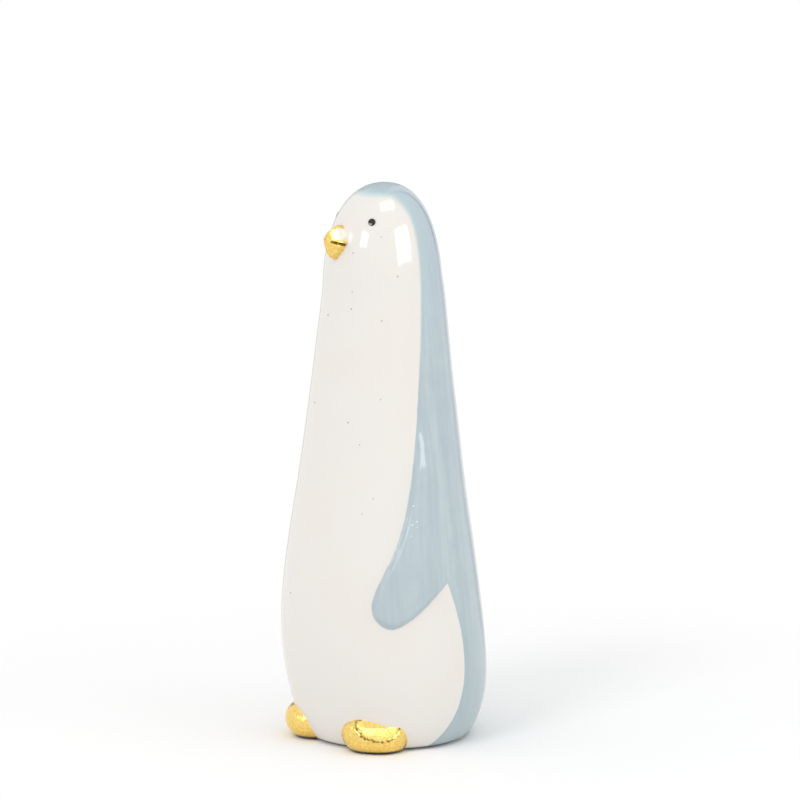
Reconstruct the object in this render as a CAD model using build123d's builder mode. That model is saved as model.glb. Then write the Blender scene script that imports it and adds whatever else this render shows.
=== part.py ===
"""Penguin figurine: a slender hollow ceramic bird with low-relief flippers, a gold beak and gold feet.

Millimetres, +Z up. The origin is the centre of the flat base, on the surface that it stands on. The
bird faces -Y, and +X is its own left.
"""
import os
from math import atan2, cos, radians, sin

from build123d import *

os.makedirs("parts", exist_ok=True)

# Body
body_height = 180.0
belly_half_width = 33.8
belly_half_depth = 32.9
wall = 3.6
floor_thickness = 5.0

# Underside
foot_ring_width = 6.5
recess_depth = 1.0
vent_diameter = 8.0

# Glaze
coat_thickness = 0.35
flipper_relief = 1.6
flipper_rim_bevel = 1.0

# Beak
beak_width = 9.0
beak_depth = 10.4
beak_middle_height_share = 0.8994
beak_reach = 5.8
beak_corner_radius = 0.8

# Feet
foot_radius = 11.7
foot_half_thickness = 7.6
foot_axis_height = 5.3
left_foot_angle = 43.9
left_foot_sink = 6.17
right_foot_angle = 27.2
right_foot_sink = 7.37

# Eyes
eye_diameter = 2.6
eye_bulge = 0.35
eye_socket_depth = 0.5
eye_height_share = 0.9383
left_eye_angle = 39.5
right_eye_angle = 46.0

# How far a cutting shape runs past what it cuts
overrun = 5.0

# The face sits at shares of the body's height
beak_middle_height = body_height * beak_middle_height_share
eye_height = body_height * eye_height_share

# Levels of the body from the base to the neck: share of the height, of the belly's size, and how far
# the level leans back, as a share of the belly's half depth
trunk_shares = [
    (0.0, 0.763, 0.040),
    (0.007, 0.811, 0.038),
    (0.017, 0.850, 0.036),
    (0.034, 0.894, 0.035),
    (0.067, 0.945, 0.036),
    (0.111, 0.984, 0.020),
    (0.167, 1.0, -0.012),
    (0.25, 0.977, -0.040),
    (0.333, 0.926, -0.050),
    (0.417, 0.858, -0.049),
    (0.5, 0.793, -0.040),
    (0.583, 0.737, -0.033),
    (0.667, 0.680, -0.027),
    (0.75, 0.630, -0.021),
    (0.817, 0.589, -0.020),
]

# The crown closes over the last level: it rises by these shares of what is left of the height, and
# its size follows one full, egg-like curve
crown_rise_shares = [0.27, 0.48, 0.65, 0.79, 0.89, 0.955, 0.99]
crown_taper_share = 0.15
crown_rise_power = 3
crown_close_power = 0.455
crown_lean_share = -0.028

# Edge of the blue coat seen from the side: the share of the belly's half depth behind the axis, and
# the share of the height. It runs from the brow down round the flipper's tip to the armpit
brow_shares = [
    (-0.128, 0.980),
    (-0.050, 0.960),
    (0.0, 0.911),
    (-0.018, 0.783),
    (-0.113, 0.644),
    (-0.280, 0.473),
    (-0.489, 0.361),
    (-0.674, 0.287),
    (-0.688, 0.255),
    (-0.585, 0.2306),
    (-0.380, 0.243),
    (-0.098, 0.283),
    (0.052, 0.304),
]

# The same edge from the armpit down the flank to the base
flank_shares = [
    (0.188, 0.226),
    (0.243, 0.139),
    (0.152, 0.059),
    (-0.091, 0.0),
]

# The beak stands full out of the face and rounds to a blunt point: share of its reach, share of its
# width and height
beak_section_shares = [
    (0.0, 1.0),
    (0.3, 0.95),
    (0.58, 0.76),
    (0.82, 0.48),
    (0.95, 0.27),
    (1.0, 0.12),
]

# The flipper's own soft rear edge, from its shoulder down to the armpit
flipper_rear_shares = [
    (0.06, 0.66),
    (0.16, 0.50),
    (0.14, 0.37),
]

# The flipper's relief is full up to the wrist and fades to a small share of it at the shoulder
wrist_share = 0.45
shoulder_share = 0.66
shoulder_relief_share = 0.12


def outer_levels():
    """Height, half width, half depth and lean of each level of the body, apart from its top point."""
    levels = []
    for height_share, size_share, lean_share in trunk_shares:
        levels.append(
            (
                body_height * height_share,
                belly_half_width * size_share,
                belly_half_depth * size_share,
                belly_half_depth * lean_share,
            )
        )
    neck_height, neck_half_width, neck_half_depth, neck_lean = levels[-1]
    for rise in crown_rise_shares:
        size = (1 - crown_taper_share * rise) * (1 - rise**crown_rise_power) ** crown_close_power
        lean = belly_half_depth * crown_lean_share * (1 - rise**crown_rise_power)
        height = neck_height + (body_height - neck_height) * rise
        levels.append((height, neck_half_width * size, neck_half_depth * size, lean))
    return levels


def body_sections(inset_at, bottom=0.0):
    """Closed outlines of the body's levels, moved inwards along the surface by inset_at(height)."""
    levels = outer_levels()
    top = (body_height, 0.0, 0.0, 0.0)
    below = [levels[0]] + levels[:-1]
    above = levels[1:] + [top]
    moved = []
    for (height, half_width, half_depth, lean), low, high in zip(levels, below, above):
        slope = atan2(low[1] - high[1], high[0] - low[0])
        inset = inset_at(height)
        rise = height if height == 0 else height - inset * sin(slope)
        draw = inset * cos(slope)
        if rise >= bottom:
            moved.append((rise, half_width - draw, half_depth - draw, lean))
    moved[0] = (bottom,) + moved[0][1:]
    sections = []
    for height, half_width, half_depth, lean in moved:
        level = Plane(origin=(0, lean, height), x_dir=(0, 1, 0), z_dir=(0, 0, 1))
        with BuildSketch(level) as outline:
            Ellipse(half_depth, half_width)
        sections.append(outline.sketch)
    sections.append(Vertex(0, 0, body_height - inset_at(body_height)))
    return sections


def side_point(shares):
    """A point of a side outline: share of the half depth behind the axis, share of the height."""
    return (belly_half_depth * shares[0], body_height * shares[1])


def surface_point(height, angle):
    """The body's surface at a height and an angle from straight ahead towards the bird's left."""
    levels = outer_levels()
    low = [level for level in levels if level[0] <= height][-1]
    high = levels[levels.index(low) + 1]
    part = (height - low[0]) / (high[0] - low[0])
    half_width, half_depth, lean = [a + (b - a) * part for a, b in zip(low[1:], high[1:])]
    turn = radians(angle)
    return Vector(half_width * sin(turn), lean - half_depth * cos(turn), height)


# Outer surface of the whole bird, which every other piece is cut by
with BuildPart() as body_form:
    loft(body_sections(lambda height: 0.0))

# Room inside the cast
with BuildPart() as cavity:
    loft(body_sections(lambda height: wall, floor_thickness))

# Surface under the blue coat
with BuildPart() as coat_bed:
    loft(body_sections(lambda height: coat_thickness))

# Blue coat over the back, the neck's sides and the cap of the head
front_reach = belly_half_depth + overrun
with BuildPart() as back_glaze:
    with BuildSketch(Plane.YZ) as coat_outline:
        with BuildLine():
            edge = Spline([side_point(s) for s in brow_shares])
            flank = Spline([edge @ 1] + [side_point(s) for s in flank_shares])
            below_base = (flank @ 1).Y - overrun
            above_head = body_height + overrun
            Polyline(
                flank @ 1,
                ((flank @ 1).X, below_base),
                (front_reach, below_base),
                (front_reach, above_head),
                (-front_reach, above_head),
                (-front_reach, (edge @ 0).Y),
                edge @ 0,
            )
        make_face()
    extrude(amount=belly_half_width + overrun, both=True)
    add(body_form.part, mode=Mode.INTERSECT)
    add(coat_bed.part, mode=Mode.SUBTRACT)
back_glaze.part.label = "back_glaze"
export_step(back_glaze.part, "parts/back_glaze.step")

# An eye: a domed bead, with its rim on the XY plane and its shank below
eye_radius = eye_diameter / 2
eye_dome_radius = (eye_radius**2 + eye_bulge**2) / (2 * eye_bulge)
with BuildPart() as eye_form:
    with BuildSketch(Plane.XZ):
        with BuildLine():
            dome = RadiusArc((eye_radius, 0), (0, eye_bulge), -eye_dome_radius)
            Polyline(dome @ 0, (eye_radius, -eye_socket_depth), (0, -eye_socket_depth), dome @ 1)
        make_face()
    revolve(axis=Axis.Z)


def eye_place(angle):
    """Where an eye sits, square on the face, at an angle from straight ahead to the bird's left."""
    seat = surface_point(eye_height, angle)
    across = surface_point(eye_height, angle + 1) - seat
    up = surface_point(eye_height + eye_bulge, angle) - seat
    return Plane(origin=seat, x_dir=across, z_dir=across.cross(up)).location


# Each eye sits in a shallow socket of the face. The painted pair isn't quite even
with BuildPart() as left_eye:
    add(eye_form.part.moved(eye_place(left_eye_angle)))
left_eye.part.label = "left_eye"
export_step(left_eye.part, "parts/left_eye.step")

with BuildPart() as right_eye:
    add(eye_form.part.moved(eye_place(-right_eye_angle)))
right_eye.part.label = "right_eye"
export_step(right_eye.part, "parts/right_eye.step")

# Hollow cast body with its eye sockets, foot ring, recess and vent
ring_inner_radius = belly_half_depth * trunk_shares[0][1] - foot_ring_width
with BuildPart() as body_shell:
    add(body_form.part)
    add(cavity.part, mode=Mode.SUBTRACT)
    add([back_glaze.part, left_eye.part, right_eye.part], mode=Mode.SUBTRACT)
    base_lean = belly_half_depth * trunk_shares[0][2]
    with BuildSketch(Plane.XY) as recess_outline:
        with Locations((0, base_lean)):
            Circle(ring_inner_radius)
    extrude(amount=recess_depth, mode=Mode.SUBTRACT)
    with BuildSketch(Plane.XY) as vent_outline:
        with Locations((0, base_lean)):
            Circle(vent_diameter / 2)
    extrude(amount=floor_thickness + overrun, mode=Mode.SUBTRACT)
body_shell.part.label = "body_shell"
export_step(body_shell.part, "parts/body_shell.step")


def relief_at(height):
    """How far the flipper stands out from the body at a height."""
    fade = (height - body_height * wrist_share) / (body_height * (shoulder_share - wrist_share))
    fade = min(max(fade, 0.0), 1.0)
    return flipper_relief * (1 + (shoulder_relief_share - 1) * fade)


# Surface of the flippers' relief, all round the bird
with BuildPart() as relief_form:
    loft(body_sections(lambda height: -relief_at(height)))

# Left flipper: its front edge is the coat's own edge, and its rear edge runs down to the armpit
armpit = side_point(brow_shares[-1])
with BuildPart() as left_flipper:
    with BuildSketch(Plane.YZ) as flipper_outline:
        add(coat_outline.sketch_local)
        with BuildSketch(Plane.XY, mode=Mode.PRIVATE) as flipper_zone:
            with BuildLine():
                rear = Spline([side_point(s) for s in flipper_rear_shares] + [armpit])
                Polyline(
                    rear @ 1,
                    (armpit[0], armpit[1] / 2),
                    (-front_reach, armpit[1] / 2),
                    (-front_reach, (rear @ 0).Y),
                    rear @ 0,
                )
            make_face()
        add(flipper_zone.sketch_local, mode=Mode.INTERSECT)
    extrude(amount=belly_half_width + overrun)
    add(relief_form.part, mode=Mode.INTERSECT)
    add(body_form.part, mode=Mode.SUBTRACT)
    rim = left_flipper.faces().sort_by(Axis.X)[-1].edges().sort_by(SortBy.LENGTH)[-2:]
    chamfer(rim, flipper_rim_bevel)
left_flipper.part.label = "left_flipper"
export_step(left_flipper.part, "parts/left_flipper.step")

with BuildPart() as right_flipper:
    mirror(left_flipper.part, about=Plane.YZ)
right_flipper.part.label = "right_flipper"
export_step(right_flipper.part, "parts/right_flipper.step")

# Beak: a pinched four-sided point, seated square on the sloping face
face = surface_point(beak_middle_height, 0)
face_above = surface_point(beak_middle_height + beak_depth / 2, 0)
face_below = surface_point(beak_middle_height - beak_depth / 2, 0)
beak_out = Vector(1, 0, 0).cross(face_above - face_below)
beak_plane = Plane(origin=face, x_dir=(1, 0, 0), z_dir=beak_out)
with BuildPart() as beak:
    for reach_share, size_share in beak_section_shares:
        with BuildSketch(beak_plane.offset(beak_reach * reach_share)) as beak_section:
            with BuildLine():
                Polyline(
                    (0, beak_depth / 2 * size_share),
                    (beak_width / 2 * size_share, 0),
                    (0, -beak_depth / 2 * size_share),
                    (-beak_width / 2 * size_share, 0),
                    close=True,
                )
            make_face()
            fillet(beak_section.vertices(), beak_corner_radius * size_share)
    loft()
    extrude(beak.faces().sort_by(Axis.Y)[-1], amount=beak_reach)
    add(body_form.part, mode=Mode.SUBTRACT)
beak.part.label = "beak"
export_step(beak.part, "parts/beak.step")

# A foot: a rounded lump, cut flat where it stands
with BuildPart() as foot_form:
    with BuildSketch(Plane.XZ) as foot_outline:
        with Locations((0, foot_axis_height)):
            Ellipse(foot_radius, foot_half_thickness)
        split(bisect_by=Plane.YZ)
    revolve(axis=Axis.Z)
    split(bisect_by=Plane.XY)


def foot_place(angle, sink):
    """Where a foot's middle stands: sunk into the body's side, at an angle from straight ahead."""
    side = surface_point(foot_axis_height, angle)
    turn = radians(angle)
    return Location((side.X - sink * sin(turn), side.Y + sink * cos(turn), 0))


# The bird stands a little turned on its feet, so their angles differ
with BuildPart() as left_foot:
    add(foot_form.part.moved(foot_place(left_foot_angle, left_foot_sink)))
    add(body_form.part, mode=Mode.SUBTRACT)
left_foot.part.label = "left_foot"
export_step(left_foot.part, "parts/left_foot.step")

with BuildPart() as right_foot:
    add(foot_form.part.moved(foot_place(-right_foot_angle, right_foot_sink)))
    add(body_form.part, mode=Mode.SUBTRACT)
right_foot.part.label = "right_foot"
export_step(right_foot.part, "parts/right_foot.step")
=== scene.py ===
"""Looks of the penguin figurine: glazed earthenware with a brushed blue coat, gold lustre and enamel eyes.

Metres, +Z up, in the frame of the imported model. The bird stands on z = 0 and faces -Y, and +X is its
own left.
"""

import math

import bpy
import numpy as np
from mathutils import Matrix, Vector


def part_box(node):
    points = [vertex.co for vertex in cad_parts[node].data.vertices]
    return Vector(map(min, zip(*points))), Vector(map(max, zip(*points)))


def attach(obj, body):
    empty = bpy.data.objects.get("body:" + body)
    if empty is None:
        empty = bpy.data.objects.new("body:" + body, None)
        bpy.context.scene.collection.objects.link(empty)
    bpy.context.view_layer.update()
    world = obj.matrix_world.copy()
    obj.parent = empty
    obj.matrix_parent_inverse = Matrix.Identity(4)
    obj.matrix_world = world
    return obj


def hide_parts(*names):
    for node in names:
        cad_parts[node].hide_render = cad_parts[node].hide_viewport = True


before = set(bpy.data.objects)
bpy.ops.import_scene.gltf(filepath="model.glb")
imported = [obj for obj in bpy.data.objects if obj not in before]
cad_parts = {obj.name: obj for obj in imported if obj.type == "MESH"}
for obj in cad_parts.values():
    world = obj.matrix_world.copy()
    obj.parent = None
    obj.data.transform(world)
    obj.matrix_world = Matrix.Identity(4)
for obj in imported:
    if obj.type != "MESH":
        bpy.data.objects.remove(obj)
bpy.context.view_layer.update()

MM = 0.001

# Body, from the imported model
body_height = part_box("back_glaze")[1].z
belly_half_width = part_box("body_shell")[1].x
depth_share = 0.973
wall = 3.6 * MM
floor_thickness = 5.0 * MM
foot_ring_width = 6.5 * MM
recess_depth = 1.0 * MM
vent_radius = 4.0 * MM
arris = 0.4 * MM

# Blue coat and flippers. The coat's piece reaches a fringe past its painted edge, white like the body.
# A covering piece dips at its rim under its neighbour's surface, so that the two cross there
coat_thickness = 0.35 * MM
coat_fringe = 2.6 * MM
rim_dip = 0.02 * MM
flipper_relief = 1.6 * MM
flipper_least_relief = 0.004 * MM
flipper_front_round = 1.9 * MM
right_flipper_front_round = 8.0 * MM
flipper_rear_slope = 6.5 * MM
flipper_cover_depth = 0.2 * MM
brush_radius = 0.9 * belly_half_width

# A painted contact shadow darkens the base: from this height, and fully by this one
contact_shadow_heights = (1.25 * MM, 0.7 * MM)

# Beak
beak_width = 8.7 * MM
beak_depth = 11.3 * MM
beak_reach = 5.7 * MM
beak_middle_height = body_height * 0.8994
beak_squareness = 1.2
beak_blunt_power = 2.3
beak_taper_power = 0.74
beak_fold_depth = 0.7 * MM
beak_fold_width = 0.34 * MM
beak_fold_height = -1.5 * beak_fold_width
beak_root_shares = [-0.28, -0.14]

# Feet: what both share
foot_side_slope = 0.03
foot_press_direction = (58, 39)
foot_press_share = 0.94
foot_press_round = 0.5 * MM
foot_rim_height = 9.9 * MM
foot_rim_width = 2.2 * MM
foot_rim_share = 0.7
foot_crease_shade_width = 0.7 * MM
foot_hidden_depth = 2.4 * MM

# Each foot: its angle from straight ahead, positive to the bird's left, its reach as a share of the
# belly's half width, its radius, top, axis height, fullness and press depth, and its seed
foot_rows = [
    ("left_foot", 47.0, 0.663, 11.4 * MM, 13.3 * MM, 5.6 * MM, 2.25, 8.6 * MM, 8.0),
    ("right_foot", -26.5, 0.659, 10.5 * MM, 12.6 * MM, 5.8 * MM, 2.2, 10.2 * MM, 6.0),
]

# Eyes, at angles counted the same way
eye_diameter = 2.35 * MM
eye_bulge = 0.09 * MM
eye_dome_power = 2.2
eye_tilt = 0.06
eye_socket_depth = 0.5 * MM
eye_height = body_height * 0.9383
eye_rows = [("left_eye", 39.5), ("right_eye", -49.0)]

# Mesh steps: the body's points are this far apart along its outline, and there are this many round it.
# Inside the cast they are further apart. Under a covering piece the body sinks in three steps
body_step = 0.86 * MM
body_turns = 360
inner_step = 7 * MM
inner_round = 2 * MM
inner_least_radius = 1 * MM
inner_top_rise = 0.4 * MM
cover_steps = (0.15, 0.5, 1.0)
outline_knot_steps = 24

# Levels of the body from the base to the neck: share of the height, of the belly's size, and how far
# the level leans back, as a share of the belly's half depth
trunk_shares = [
    (0.0, 0.763, 0.040),
    (0.007, 0.811, 0.038),
    (0.017, 0.850, 0.036),
    (0.034, 0.894, 0.035),
    (0.067, 0.945, 0.036),
    (0.111, 0.984, 0.020),
    (0.167, 1.0, -0.012),
    (0.25, 0.977, -0.040),
    (0.333, 0.926, -0.050),
    (0.417, 0.858, -0.049),
    (0.5, 0.793, -0.040),
    (0.583, 0.737, -0.033),
    (0.667, 0.680, -0.027),
    (0.75, 0.630, -0.021),
    (0.817, 0.589, -0.020),
]

# The crown closes over the neck on one egg-like curve
crown_steps = 12
crown_taper_share = 0.15
crown_rise_power = 3
crown_close_power = 0.455
crown_lean_share = -0.028

# Edge of the blue coat seen from the side: the share of the belly's half depth behind the axis, and
# the share of the height. It runs from the brow down round the flipper's tip to the armpit
brow_shares = [
    (-0.128, 0.980),
    (-0.050, 0.960),
    (0.0, 0.911),
    (-0.018, 0.783),
    (-0.113, 0.644),
    (-0.280, 0.473),
    (-0.489, 0.361),
    (-0.674, 0.287),
    (-0.688, 0.255),
    (-0.585, 0.2306),
    (-0.380, 0.243),
    (-0.098, 0.283),
    (0.052, 0.304),
]

# The same edge from the armpit down the flank to the base
flank_shares = [
    (0.188, 0.226),
    (0.243, 0.139),
    (0.152, 0.059),
    (-0.091, 0.0),
]

# The flipper's own soft rear edge, from its shoulder down to the armpit
flipper_rear_shares = [
    (0.06, 0.66),
    (0.16, 0.50),
    (0.14, 0.37),
    (0.052, 0.304),
]
wrist_share = 0.48
shoulder_share = 0.60
flipper_low_share = 0.15

# Beads where the glaze has pimpled on the left flipper, their near-white colour a painted glint: height
# in mm, and angle as below
bead_places = [
    (80.0, 74.1),
    (75.8, 70.1),
    (75.3, 75.9),
    (74.5, 71.9),
    (74.0, 73.5),
    (73.4, 76.4),
    (71.0, 72.3),
]

# Grey specks in the white glaze: height in mm, and angle from straight ahead towards the bird's left
speck_places = [
    (164.5, 52),
    (159.2, 22),
    (152.2, 68),
    (147.0, 23),
    (141.6, 23),
    (138.3, 52),
    (110.4, -12),
    (113.7, 52),
    (106.0, 27),
    (99.3, 37),
    (82.6, 48),
    (77.8, 41),
]


def spline(knots, per_span=outline_knot_steps):
    """Smooth line through knots, read at per_span even steps between one knot and the next."""
    steps = np.linalg.norm(np.diff(knots[:, :2], axis=0), axis=1)
    at = np.concatenate([[0.0], np.cumsum(steps)])
    count = len(knots)
    system = np.eye(count)
    target = np.zeros_like(knots)
    for i in range(1, count - 1):
        below, above = steps[i - 1], steps[i]
        system[i, i - 1 : i + 2] = below, 2 * (below + above), above
        target[i] = 6 * ((knots[i + 1] - knots[i]) / above - (knots[i] - knots[i - 1]) / below)
    bend = np.linalg.solve(system, target)
    places = np.interp(np.arange((count - 1) * per_span + 1) / per_span, np.arange(count), at)
    span = np.clip(np.searchsorted(at, places, side="right") - 1, 0, count - 2)
    width = steps[span][:, None]
    near = (at[span + 1] - places)[:, None] / width
    far = 1 - near
    line = near * knots[span] + far * knots[span + 1]
    return line + ((near**3 - near) * bend[span] + (far**3 - far) * bend[span + 1]) * width**2 / 6


def body_outline():
    """Fine rows of height, half width and lean, from the base's edge up to the top point."""
    belly_half_depth = belly_half_width * depth_share
    knots = [
        (body_height * height, belly_half_width * size, belly_half_depth * lean)
        for height, size, lean in trunk_shares
    ]
    neck_height, neck_half_width, _ = knots[-1]
    for step in range(1, crown_steps + 1):
        rise = math.sin(math.pi / 2 * step / crown_steps)
        closing = max(1 - rise**crown_rise_power, 0.0)
        size = (1 - crown_taper_share * rise) * closing**crown_close_power
        lean = belly_half_depth * crown_lean_share * closing
        knots.append((neck_height + (body_height - neck_height) * rise, neck_half_width * size, lean))
    # The same knots past the top point, on the other side, make the crown round there
    beyond = [(height, -half_width, lean) for height, half_width, lean in knots[-2:-6:-1]]
    line = spline(np.array(knots + beyond))[: (len(knots) - 1) * outline_knot_steps + 1]
    line[-1, 1] = 0.0
    return line


outline = body_outline()


def along_outline(step):
    """Rows of the outline at even steps along it."""
    lengths = np.linalg.norm(np.diff(outline[:, :2], axis=0), axis=1)
    at = np.concatenate([[0.0], np.cumsum(lengths)])
    places = np.linspace(0, at[-1], round(at[-1] / step) + 1)
    return np.stack([np.interp(places, at, outline[:, i]) for i in range(3)], axis=1)


def level_at(height):
    """Half width, half depth and lean of the body at heights."""
    half_width = np.interp(height, outline[:, 0], outline[:, 1])
    return half_width, half_width * depth_share, np.interp(height, outline[:, 0], outline[:, 2])


def surface_point(height, angle):
    """The body's surface at a height and an angle from straight ahead towards the bird's left."""
    half_width, half_depth, lean = level_at(height)
    return np.stack(
        np.broadcast_arrays(half_width * np.sin(angle), lean - half_depth * np.cos(angle), height), axis=-1
    )


def surface_normal(height, angle):
    """Outward direction there."""
    small = 0.1 * MM
    across = surface_point(height, angle + 0.01) - surface_point(height, angle - 0.01)
    up = surface_point(height + small, angle) - surface_point(height - small, angle)
    out = np.cross(across, up)
    return out / np.linalg.norm(out, axis=-1, keepdims=True)


def side_line(shares):
    """Smooth line in the side view through points given by their shares."""
    knots = [(belly_half_width * depth_share * back, body_height * height) for back, height in shares]
    return spline(np.array(knots), per_span=14)


def onto_surface(line):
    """Points of a side view's line on the left half of the body's surface."""
    half_width, half_depth, lean = level_at(line[:, 1])
    ahead = np.clip((lean - line[:, 0]) / half_depth, -1, 1)
    return surface_point(line[:, 1], np.arccos(ahead))


def distance_to_line(points, line):
    """Shortest distance of each point from a line of short runs."""
    nearest = np.full(len(points), np.inf)
    for start, end in zip(line[:-1], line[1:]):
        run = end - start
        along = np.clip((points - start) @ run / (run @ run), 0, 1)
        nearest = np.minimum(nearest, np.linalg.norm(points - start - along[:, None] * run, axis=1))
    return nearest


def within(points, corners):
    """Whether points of the side view lie in a closed outline."""
    found = np.zeros(len(points), bool)
    for (y0, z0), (y1, z1) in zip(corners, np.roll(corners, -1, axis=0)):
        if z0 != z1:
            crossed = (z0 > points[:, 1]) != (z1 > points[:, 1])
            found ^= crossed & (points[:, 0] < y0 + (points[:, 1] - z0) * (y1 - y0) / (z1 - z0))
    return found


def direction(azimuth, elevation):
    """Direction from the bird: azimuth from straight ahead towards its left, in degrees."""
    azimuth, elevation = math.radians(azimuth), math.radians(elevation)
    level = math.cos(elevation)
    return Vector((math.sin(azimuth) * level, -math.cos(azimuth) * level, math.sin(elevation)))


def smooth(share):
    """Eases from 0 to 1."""
    share = np.clip(share, 0, 1)
    return share * share * (3 - 2 * share)


def grid_faces(rings, turns, start=0):
    """Faces between rings of points, each ring closed on itself."""
    ring = np.arange(rings - 1)[:, None] * turns
    turn = np.arange(turns)[None, :]
    ahead = (turn + 1) % turns
    corners = [ring + turn, ring + ahead, ring + turns + ahead, ring + turns + turn]
    return np.stack(corners, axis=-1).reshape(-1, 4) + start


def fan_faces(ring_start, turns, pole, above=True):
    """Triangles that close the last ring to its pole, or the first ring if it is below."""
    turn = np.arange(turns)
    ahead = (turn + 1) % turns
    pair = [ring_start + turn, ring_start + ahead] if above else [ring_start + ahead, ring_start + turn]
    return np.stack(pair + [np.full(turns, pole)], axis=-1)


def new_object(name, data):
    """An object in the scene."""
    made = bpy.data.objects.new(name, data)
    bpy.context.scene.collection.objects.link(made)
    return made


def make_piece(name, points, face_groups, materials, material_of=None, normals=None, values=None):
    """A mesh object from arrays. material_of gives a slot to each face, and normals one to each point."""
    mesh = bpy.data.meshes.new(name)
    faces = [face for group in face_groups for face in group.tolist()]
    mesh.from_pydata(points.tolist(), [], faces)
    mesh.shade_smooth()
    for material in materials:
        mesh.materials.append(material)
    if material_of is not None:
        mesh.polygons.foreach_set("material_index", material_of)
    for label, numbers in (values or {}).items():
        kind, part = ("FLOAT_VECTOR", "vector") if numbers.ndim == 2 else ("FLOAT", "value")
        attribute = mesh.attributes.new(label, kind, "POINT")
        attribute.data.foreach_set(part, numbers.astype(np.float32).ravel())
    mesh.update()
    if normals is not None:
        mesh.normals_split_custom_set_from_vertices(normals.tolist())
    return new_object(name, mesh)


def finish_piece(piece, slot, *nodes):
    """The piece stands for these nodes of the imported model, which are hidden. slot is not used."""
    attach(piece, "root")
    if nodes:
        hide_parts(*nodes)


# Materials

RGBA = {"data_type": "RGBA"}
EASED = {"interpolation_type": "SMOOTHSTEP"}
GLAZE_SHINE = {"Roughness": 0.07, "IOR": 1.5}


def colour(code):
    """Linear colour of an sRGB hex value."""
    parts = [int(code[i : i + 2], 16) / 255 for i in (0, 2, 4)]
    return tuple(c / 12.92 if c <= 0.04045 else ((c + 0.055) / 1.055) ** 2.4 for c in parts) + (1.0,)


def add_node(tree, kind, inputs=None, settings=None):
    """Adds a node with its settings. An input is linked if it is given a socket, and set otherwise."""
    node = tree.nodes.new(kind)
    for name, value in (settings or {}).items():
        setattr(node, name, value)
    for name, value in (inputs or {}).items():
        if isinstance(value, bpy.types.NodeSocket):
            tree.links.new(value, node.inputs[name])
        else:
            node.inputs[name].default_value = value
    return node.outputs


def new_material(name):
    """An empty material, its node tree, and the place of what is shaded in the piece's own frame."""
    material = bpy.data.materials.new(name)
    material.use_nodes = True
    tree = material.node_tree
    tree.nodes.clear()
    return material, tree, add_node(tree, "ShaderNodeTexCoord")["Object"]


def end_material(tree, inputs):
    """Ends a material with its shader."""
    shader = add_node(tree, "ShaderNodeBsdfPrincipled", inputs)
    add_node(tree, "ShaderNodeOutputMaterial", {"Surface": shader["BSDF"]})


def washed(tree, under, over, ramps, join="MULTIPLY"):
    """Lays one colour over another. Each ramp is a value, where it starts and ends, and what it reaches."""
    share = None
    for value, start, end, most in ramps:
        ramp = add_node(
            tree, "ShaderNodeMapRange", {"Value": value, "From Min": start, "From Max": end, "To Max": most}
        )["Result"]
        if share is not None:
            ramp = add_node(tree, "ShaderNodeMath", {0: share, 1: ramp}, {"operation": join})[0]
        share = ramp
    return add_node(tree, "ShaderNodeMix", {0: share, 6: under, 7: over}, RGBA)[2]


def painted_contact_shadow(tree, height, glaze, stain):
    """The lowest millimetre, painted dark towards the colour stain: a painted contact shadow where it meets the floor.
    """
    return washed(tree, glaze, colour(stain), [(height, *contact_shadow_heights, 0.95)])


def glaze_white(tree, place):
    """Opaque white glaze: warm where it is thin and cooler where it has pooled, in soft 30 mm clouds."""
    clouds = add_node(tree, "ShaderNodeTexNoise", {"Vector": place, "Scale": 1 / (30 * MM), "Detail": 2.0})["Fac"]
    return washed(tree, colour("EDE8E1"), colour("ECE9E4"), [(clouds, 0.35, 0.65, 1.0)])


def glaze_bump(tree, place):
    """The skin of a dipped glaze: a shallow ripple about 4 mm wide."""
    ripple = add_node(tree, "ShaderNodeTexNoise", {"Vector": place, "Scale": 1 / (4 * MM), "Detail": 1.0})["Fac"]
    return add_node(tree, "ShaderNodeBump", {"Strength": 0.3, "Distance": 0.03 * MM, "Height": ripple})["Normal"]


def white_glaze_material():
    """Glossy tin-white earthenware glaze, dipped: a milky, even body colour under a clear wet shine."""
    material, tree, place = new_material("dipped white glaze")
    height = add_node(tree, "ShaderNodeSeparateXYZ", {"Vector": place})["Z"]
    # The dark line at the base is painted contact shadow
    glaze = painted_contact_shadow(tree, height, glaze_white(tree, place), "3B342E")
    end_material(tree, {"Base Color": glaze, "Normal": glaze_bump(tree, place), **GLAZE_SHINE})
    return material


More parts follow.
